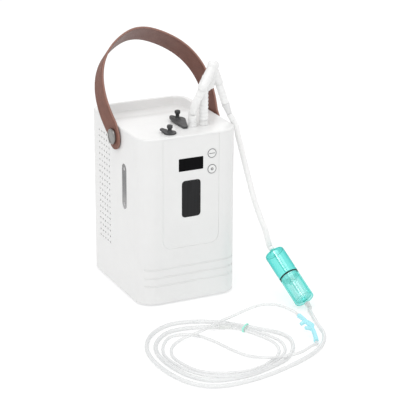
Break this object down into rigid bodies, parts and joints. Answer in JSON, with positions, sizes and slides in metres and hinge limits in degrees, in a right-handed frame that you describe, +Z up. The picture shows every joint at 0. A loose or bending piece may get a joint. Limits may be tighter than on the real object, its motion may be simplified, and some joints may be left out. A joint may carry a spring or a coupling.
{
  "type": "oxygen concentrator",
  "caption": "Table-top oxygen concentrator: white upright case with a leather carrying strap, port plugs, an outlet hose with a water trap, and a coiled nasal cannula.",
  "frame": {"origin": "on the floor, under the middle of the case and inside the outline of its rubber foot strip", "axes": "+Z up; the front of the case, with the display, faces -Y; +X to the right when looking at the front"},
  "size_m": [0.299, 0.5033, 0.3823],
  "materials": {
    "housing": "satin white moulding",
    "top_cover": "satin white moulding",
    "rear_panel": "satin white moulding",
    "base_tray": "moulded grey",
    "rubber_foot_strip": "matt black",
    "case_screws": "zinc plated",
    "display_lens": "polished black",
    "display_module": "dark moulding",
    "control_board": "green solder mask",
    "power_button": "satin white with a grey ring",
    "set_button": "satin white with a grey ring",
    "front_window": "smoked, polished",
    "water_level_window": "clear, polished",
    "water_tank": "clear, slightly frosted",
    "tank_lid": "white",
    "leather_strap": "reddish brown with painted edges",
    "strap_bolts": "turned, satin",
    "strap_washers": "black nylon",
    "rear_plug": "charcoal silicone",
    "front_plug": "charcoal silicone",
    "outlet_fitting_a": "white",
    "outlet_fitting_b": "white",
    "ribbed_leg_hose": "soft white vinyl",
    "smooth_leg_hose": "soft white vinyl",
    "hose_manifold": "white moulding",
    "branch_hose": "soft white vinyl",
    "hose_joiner": "grey moulding",
    "long_hose": "soft white vinyl",
    "trap_upper_cup": "tinted, polished",
    "trap_lower_cup": "tinted, polished",
    "trap_seal": "matt black",
    "trap_dip_tube": "clear",
    "supply_tube": "clear vinyl",
    "tube_splitter": "clear vinyl",
    "cannula_tube_a": "clear vinyl",
    "cannula_tube_b": "clear vinyl",
    "nosepiece": "soft blue vinyl",
    "coil_tie": "green strap",
    "filter_cover": "satin white",
    "filter_foam": "open-cell foam",
    "power_inlet": "black",
    "rocker_switch": "black",
    "compressor_body": "die cast",
    "compressor_crank": "ground",
    "cylinder_heads": "machined",
    "piston_left": "machined",
    "piston_right": "machined",
    "compressor_mounts": "matt black",
    "sieve_beds": "drawn canisters",
    "sieve_manifold": "glass filled",
    "solenoid_valves": "black",
    "oxygen_buffer": "drawn canister",
    "intake_silencer": "black",
    "pressure_regulator": "machined",
    "fan_frame": "black",
    "fan_rotor": "black",
    "main_board": "green solder mask",
    "power_supply": "perforated sheet",
    "air_lines": "silicone tube",
    "outlet_lines": "silicone tube"
  },
  "bodies": {
    "case": {"housing": "housing", "top_cover": "top_cover", "rear_panel": "rear_panel", "base_tray": "base_tray", "rubber_foot_strip": "rubber_foot_strip", "case_screws": "case_screws", "display_lens": "display_lens", "display_module": "display_module", "control_board": "control_board", "front_window": "front_window", "water_level_window": "water_level_window", "water_tank": "water_tank", "tank_lid": "tank_lid", "strap_bolts": "strap_bolts", "strap_washers": "strap_washers", "outlet_fitting_a": "outlet_fitting_a", "outlet_fitting_b": "outlet_fitting_b", "ribbed_leg_hose": "ribbed_leg_hose", "smooth_leg_hose": "smooth_leg_hose", "hose_manifold": "hose_manifold", "branch_hose": "branch_hose", "hose_joiner": "hose_joiner", "long_hose": "long_hose", "trap_upper_cup": "trap_upper_cup", "trap_seal": "trap_seal", "trap_dip_tube": "trap_dip_tube", "supply_tube": "supply_tube", "tube_splitter": "tube_splitter", "cannula_tube_a": "cannula_tube_a", "cannula_tube_b": "cannula_tube_b", "nosepiece": "nosepiece", "coil_tie": "coil_tie", "filter_foam": "filter_foam", "power_inlet": "power_inlet", "compressor_body": "compressor_body", "cylinder_heads": "cylinder_heads", "compressor_mounts": "compressor_mounts", "sieve_beds": "sieve_beds", "sieve_manifold": "sieve_manifold", "solenoid_valves": "solenoid_valves", "oxygen_buffer": "oxygen_buffer", "intake_silencer": "intake_silencer", "pressure_regulator": "pressure_regulator", "fan_frame": "fan_frame", "main_board": "main_board", "power_supply": "power_supply", "air_lines": "air_lines", "outlet_lines": "outlet_lines"},
    "strap": {"leather_strap": "leather_strap"},
    "power_key": {"power_button": "power_button"},
    "set_key": {"set_button": "set_button"},
    "rear_port_plug": {"rear_plug": "rear_plug"},
    "front_port_plug": {"front_plug": "front_plug"},
    "filter_door": {"filter_cover": "filter_cover"},
    "rocker": {"rocker_switch": "rocker_switch"},
    "fan": {"fan_rotor": "fan_rotor"},
    "crank": {"compressor_crank": "compressor_crank"},
    "left_piston": {"piston_left": "piston_left"},
    "right_piston": {"piston_right": "piston_right"},
    "trap_bowl": {"trap_lower_cup": "trap_lower_cup"}
  },
  "joints": [
    {"name": "handle_swing", "type": "hinge", "parent": "case", "child": "strap", "pos_m": [0, -0.008, 0.244], "axis": [1, 0, 0], "range_deg": [-50, 80]},
    {"name": "power_button_press", "type": "slide", "parent": "case", "child": "power_key", "axis": [0, 1, 0], "range_m": [0, 0.001]},
    {"name": "set_button_press", "type": "slide", "parent": "case", "child": "set_key", "axis": [0, 1, 0], "range_m": [0, 0.001]},
    {"name": "rear_plug_pull", "type": "slide", "parent": "case", "child": "rear_port_plug", "axis": [0, 0, 1], "range_m": [0, 0.03]},
    {"name": "front_plug_pull", "type": "slide", "parent": "case", "child": "front_port_plug", "axis": [0, 0, 1], "range_m": [0, 0.03]},
    {"name": "filter_cover_pull", "type": "slide", "parent": "case", "child": "filter_door", "axis": [0, 1, 0], "range_m": [0, 0.03]},
    {"name": "switch_rock", "type": "hinge", "parent": "case", "child": "rocker", "pos_m": [-0.032, 0.0954, 0.066], "axis": [1, 0, 0], "range_deg": [0, 9]},
    {"name": "fan_spin", "type": "hinge", "parent": "case", "child": "fan", "pos_m": [0.018, 0.09, 0.084], "axis": [0, 1, 0], "continuous": true},
    {"name": "crank_spin", "type": "hinge", "parent": "case", "child": "crank", "pos_m": [0, -0.048, 0.06], "axis": [0, 1, 0], "continuous": true},
    {"name": "left_piston_stroke", "type": "slide", "parent": "case", "child": "left_piston", "axis": [-1, 0, 0], "range_m": [-0.001, 0.004]},
    {"name": "right_piston_stroke", "type": "slide", "parent": "case", "child": "right_piston", "axis": [1, 0, 0], "range_m": [-0.001, 0.004]},
    {"name": "trap_bowl_twist", "type": "hinge", "parent": "case", "child": "trap_bowl", "pos_m": [0.1412, -0.1989, 0.0129], "axis": [-0.1611, 0.802, 0.5752], "range_deg": [0, 60]}
  ]
}
